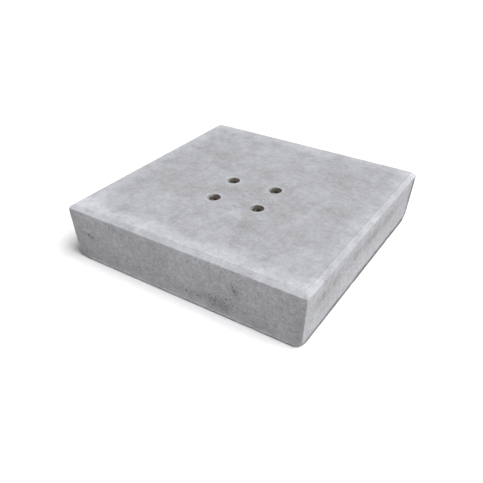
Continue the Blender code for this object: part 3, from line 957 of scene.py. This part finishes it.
# ---------------------------------------------------------------------------
# Materials
# ---------------------------------------------------------------------------
class Nodes:
    """Short names for building a node tree."""

    def __init__(self, name):
        self.material = bpy.data.materials.new(name)
        self.material.use_nodes = True
        self.tree = self.material.node_tree
        self.shader = self.tree.nodes["Principled BSDF"]
        self.place = self.tree.nodes.new("ShaderNodeTexCoord").outputs["Object"]

    def put(self, socket, value):
        if isinstance(value, bpy.types.NodeSocket):
            self.tree.links.new(value, socket)
        else:
            socket.default_value = value

    def math(self, operation, a, b=0.0, c=0.0, clamp=False):
        node = self.tree.nodes.new("ShaderNodeMath")
        node.operation = operation
        node.use_clamp = clamp
        for socket, value in zip(node.inputs, (a, b, c)):
            self.put(socket, value)
        return node.outputs[0]

    def add(self, *values):
        total = values[0]
        for value in values[1:]:
            total = self.math("ADD", total, value)
        return total

    def around(self, value, amount):
        """A 0..1 value turned into plus or minus half of amount."""
        return self.math("MULTIPLY_ADD", value, amount, -0.5 * amount)

    def noise(self, size, detail=2.0, rough=0.5, stretch=None, distortion=0.0):
        vector = self.place
        if stretch:
            node = self.tree.nodes.new("ShaderNodeVectorMath")
            node.operation = "MULTIPLY"
            self.put(node.inputs[0], vector)
            node.inputs[1].default_value = stretch
            vector = node.outputs[0]
        node = self.tree.nodes.new("ShaderNodeTexNoise")
        self.put(node.inputs["Vector"], vector)
        node.inputs["Scale"].default_value = 1.0 / size
        node.inputs["Detail"].default_value = detail
        node.inputs["Roughness"].default_value = rough
        node.inputs["Distortion"].default_value = distortion
        return node.outputs["Fac"]

    def cells(self, size):
        node = self.tree.nodes.new("ShaderNodeTexVoronoi")
        self.put(node.inputs["Vector"], self.place)
        node.inputs["Scale"].default_value = 1.0 / size
        return node.outputs["Distance"], node.outputs["Color"]

    def attribute(self, name):
        node = self.tree.nodes.new("ShaderNodeAttribute")
        node.attribute_name = name
        return node.outputs["Fac"]

    def mix(self, share, a, b):
        node = self.tree.nodes.new("ShaderNodeMix")
        node.data_type = "RGBA"
        self.put(node.inputs[0], share)
        self.put(node.inputs[6], a if isinstance(a, bpy.types.NodeSocket) else (*a, 1.0))
        self.put(node.inputs[7], b if isinstance(b, bpy.types.NodeSocket) else (*b, 1.0))
        return node.outputs[2]

    def scale(self, colour, value):
        node = self.tree.nodes.new("ShaderNodeVectorMath")
        node.operation = "SCALE"
        self.put(node.inputs[0], colour)
        self.put(node.inputs["Scale"], value)
        return node.outputs[0]

    def ramp(self, value, low, high):
        node = self.tree.nodes.new("ShaderNodeMapRange")
        node.interpolation_type = "SMOOTHSTEP"
        self.put(node.inputs["Value"], value)
        node.inputs["From Min"].default_value = low
        node.inputs["From Max"].default_value = high
        return node.outputs[0]

    def one_channel(self, colour):
        node = self.tree.nodes.new("ShaderNodeSeparateColor")
        self.put(node.inputs[0], colour)
        return node.outputs[0], node.outputs[1]

    def bump(self, height):
        node = self.tree.nodes.new("ShaderNodeBump")
        node.inputs["Strength"].default_value = 1.0
        node.inputs["Distance"].default_value = 1.0
        self.put(node.inputs["Height"], height)
        self.put(self.shader.inputs["Normal"], node.outputs[0])


ALBEDO = 0.350


def concrete_material():
    n = Nodes("cast_concrete")
    tone, dirt_and_shade, moulded, laitance = (n.attribute(k) for k in ("tone", "dirt_and_shade", "moulded", "laitance"))
    handmade = n.math("SUBTRACT", 1.0, moulded)

    cloud = n.noise(0.075, 3.0, 0.55, distortion=0.5)
    patch = n.noise(0.026, 4.0, 0.58, distortion=0.3)
    blotch = n.noise(0.0085, 3.0, 0.6)
    grain = n.noise(0.0021, 2.0, 0.6)
    sand = n.noise(0.0007, 2.0, 0.6)
    streak = n.noise(0.0060, 3.0, 0.6, stretch=(1.0, 1.0, 0.10))
    fleck_distance, fleck_colour = n.cells(0.0017)
    fleck_a, fleck_b = n.one_channel(fleck_colour)
    pin_distance, pin_colour = n.cells(0.0105)
    pin_a, pin_b = n.one_channel(pin_colour)

    pin_size = n.math("MULTIPLY_ADD", n.ramp(pin_a, 0.55, 1.0), 0.042, 0.0)
    pin = n.ramp(n.math("SUBTRACT", pin_size, pin_distance), -0.004, 0.008)

    value = n.add(
        1.0,
        n.math("MULTIPLY", n.around(cloud, 0.36), n.math("MULTIPLY_ADD", handmade, 0.5, 0.5)),
        n.math("MULTIPLY", n.around(patch, 0.52), n.math("MULTIPLY_ADD", handmade, 0.4, 0.6)),
        n.math("MULTIPLY", n.around(blotch, 0.44), n.math("MULTIPLY_ADD", moulded, 0.62, 1.0)),
        n.math("MULTIPLY", n.around(grain, 0.56), n.math("MULTIPLY_ADD", moulded, 0.90, 1.0)),
        n.math("MULTIPLY", n.around(sand, 0.42), n.math("MULTIPLY_ADD", moulded, 0.80, 1.0)),
        n.math("MULTIPLY", n.around(streak, 0.22), moulded),
        n.math("MULTIPLY", n.around(fleck_a, 0.16), n.ramp(fleck_distance, 0.65, 0.2)),
    )
    shade = n.math("MULTIPLY", value, tone)
    warm, cool = (1.003, 1.000, 1.027), (0.986, 0.992, 1.052)
    tint = n.mix(n.ramp(shade, 0.72, 1.20), warm, cool)
    colour = n.scale(tint, n.math("MULTIPLY", shade, ALBEDO))
    speckle = n.ramp(n.math("MULTIPLY_ADD", grain, 0.65, n.math("MULTIPLY", blotch, 0.35)), 0.33, 0.67)
    # Dark soil mixed in by the dirt mask: real dirt, and painted shade in the crease, the air holes and the mouths.
    soil_and_shade = n.mix(moulded, n.mix(speckle, (0.026, 0.021, 0.014), (0.090, 0.074, 0.053)), n.mix(speckle, (0.034, 0.030, 0.025), (0.130, 0.122, 0.108)))
    dirt_and_shade_share = n.math("MULTIPLY", dirt_and_shade, n.add(0.40, n.math("MULTIPLY", blotch, 0.45), n.math("MULTIPLY", grain, 0.65)), clamp=True)
    colour = n.mix(dirt_and_shade_share, colour, soil_and_shade)
    # Painted shade: a dark colour inside each pinhole, beside its bump.
    colour = n.mix(n.math("MULTIPLY", pin, 0.65), colour, (0.12, 0.11, 0.10))
    n.put(n.shader.inputs["Base Color"], colour)

    polish = n.math("MULTIPLY", n.math("MULTIPLY", laitance, handmade), -0.07)
    n.put(n.shader.inputs["Roughness"], n.add(0.84, n.around(patch, 0.16), n.around(grain, 0.14), polish))
    n.shader.inputs["Specular IOR Level"].default_value = 0.28

    height = n.add(
        n.math("MULTIPLY", n.around(patch, 0.00028), n.math("MULTIPLY_ADD", handmade, 0.6, 0.4)),
        n.around(blotch, 0.00019),
        n.around(grain, 0.00015),
        n.math("MULTIPLY", n.around(sand, 0.00009), n.math("MULTIPLY_ADD", handmade, 0.5, 0.5)),
        n.math("MULTIPLY", n.around(streak, 0.00010), moulded),
        n.math("MULTIPLY", pin, -0.00035),
    )
    n.bump(height)
    return n.material


def steel_material():
    n = Nodes("zinc_plated_steel_worn")
    wear, grime_and_shade = n.attribute("wear"), n.attribute("grime_and_shade")
    cloud = n.noise(0.0045, 3.0, 0.6)
    grain = n.noise(0.0009, 2.0, 0.6)
    turning = n.noise(0.0006, 1.0, 0.5, stretch=(0.05, 0.05, 1.0))
    plated = n.mix(cloud, (0.15, 0.135, 0.11), (0.27, 0.25, 0.215))
    bright = n.mix(grain, (0.36, 0.35, 0.33), (0.50, 0.49, 0.46))
    colour = n.mix(wear, plated, bright)
    # The grime mask turns the steel to dark soil: real grime, with painted light where it thins deeper in the threads.
    film_and_shade = n.math("MULTIPLY", grime_and_shade, n.ramp(n.add(cloud, n.around(grain, 0.3)), 0.0, 0.30), clamp=True)
    soil_and_shade = n.mix(grain, (0.034, 0.028, 0.019), (0.068, 0.057, 0.040))
    n.put(n.shader.inputs["Base Color"], n.mix(film_and_shade, colour, soil_and_shade))
    n.put(n.shader.inputs["Metallic"], n.math("MULTIPLY_ADD", film_and_shade, -0.95, 0.95))
    n.put(n.shader.inputs["Roughness"], n.add(0.58, n.around(cloud, 0.22), n.math("MULTIPLY", film_and_shade, 0.28), n.math("MULTIPLY", wear, -0.06)))
    n.shader.inputs["Specular IOR Level"].default_value = 0.22
    n.bump(n.add(n.around(grain, 0.00003), n.around(turning, 0.00001), n.math("MULTIPLY", film_and_shade, 0.00003)))
    return n.material


def plain_material(name, colour, roughness):
    material = bpy.data.materials.new(name)
    material.use_nodes = True
    shader = material.node_tree.nodes["Principled BSDF"]
    shader.inputs["Base Color"].default_value = (*colour, 1.0)
    shader.inputs["Roughness"].default_value = roughness
    shader.inputs["Specular IOR Level"].default_value = 0.2
    return material


# ---------------------------------------------------------------------------
# Stage
# ---------------------------------------------------------------------------
def make_camera():
    azimuth, elevation, roll = math.radians(32.281), math.radians(32.979), math.radians(0.64)
    focal_pixels, frame_pixels = 561.883, 483.0
    back = Vector((math.sin(azimuth) * math.cos(elevation), -math.cos(azimuth) * math.cos(elevation), math.sin(elevation)))
    level = Vector((0.0, 0.0, 1.0)).cross(back).normalized()
    upright = back.cross(level)
    right = math.cos(roll) * level + math.sin(roll) * upright
    up = -math.sin(roll) * level + math.cos(roll) * upright
    turn = Matrix((right, up, back))
    data = bpy.data.cameras.new("camera")
    data.sensor_width = 36.0
    data.lens = focal_pixels / frame_pixels * 36.0
    data.clip_start, data.clip_end = 0.02, 100.0
    camera = bpy.data.objects.new("camera", data)
    camera.matrix_world = Matrix.Translation(-(turn.transposed() @ Vector((0.02073, 0.00943, -1.17138)))) @ turn.transposed().to_4x4()
    bpy.context.scene.collection.objects.link(camera)
    bpy.context.scene.camera = camera


def make_light(name, direction, spread, strength, colour=(1.0, 1.0, 1.0)):
    """A soft light from far off, as wide in the sky as a large softbox: spread in degrees."""
    data = bpy.data.lights.new(name, "SUN")
    data.angle = math.radians(spread)
    data.energy = strength
    data.color = colour
    light = bpy.data.objects.new(name, data)
    away = Vector(direction).normalized()
    light.location = away * 3.0
    light.rotation_mode = "QUATERNION"
    light.rotation_quaternion = away.to_track_quat("Z", "Y")
    bpy.context.scene.collection.objects.link(light)


def make_world():
    """A pale room: bright walls near the horizon, dimmer overhead."""
    world = bpy.data.worlds.new("room")
    world.use_nodes = True
    tree = world.node_tree
    background = tree.nodes["Background"]
    place = tree.nodes.new("ShaderNodeTexCoord")
    parts = tree.nodes.new("ShaderNodeSeparateXYZ")
    tree.links.new(place.outputs["Generated"], parts.inputs[0])
    height = tree.nodes.new("ShaderNodeMapRange")
    height.interpolation_type = "SMOOTHSTEP"
    tree.links.new(parts.outputs["Z"], height.inputs["Value"])
    height.inputs["From Min"].default_value = 0.10
    height.inputs["From Max"].default_value = 0.42
    mix = tree.nodes.new("ShaderNodeMix")
    mix.data_type = "RGBA"
    tree.links.new(height.outputs[0], mix.inputs[0])
    mix.inputs[6].default_value = (0.80, 0.805, 0.82, 1.0)
    mix.inputs[7].default_value = (0.163, 0.165, 0.171, 1.0)
    tree.links.new(mix.outputs[2], background.inputs["Color"])
    bpy.context.scene.world = world


def make_floor():
    steps, radius = 96, 60.0
    turns = [2.0 * math.pi * k / steps for k in range(steps)]
    mesh = bpy.data.meshes.new("floor")
    mesh.from_pydata([(radius * math.cos(a), radius * math.sin(a), 0.0) for a in turns], [], [tuple(range(steps))])
    mesh.materials.append(plain_material("pale_floor", (0.90, 0.90, 0.90), 0.95))
    floor = bpy.data.objects.new("floor", mesh)
    floor.location.z = -0.0003
    bpy.context.scene.collection.objects.link(floor)


# ---------------------------------------------------------------------------
# Everything together
# ---------------------------------------------------------------------------
make_camera()
make_world()
make_floor()
make_light("key", (0.222, -0.020, 0.393), 42.0, 4.22)
bpy.context.scene.view_settings.view_transform = "Standard"
bpy.context.scene.view_settings.look = "None"

concrete = concrete_material()
steel = steel_material()

block = make_block(concrete)
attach(block, "root")
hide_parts("concrete_block")

for number, (name, centre) in enumerate(CENTRES.items()):
    socket = make_socket(name.replace("threaded_socket", "tapped_socket"), centre, 0.9 + 1.7 * number, steel)
    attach(socket, "root")
    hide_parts(name)

bpy.context.view_layer.update()
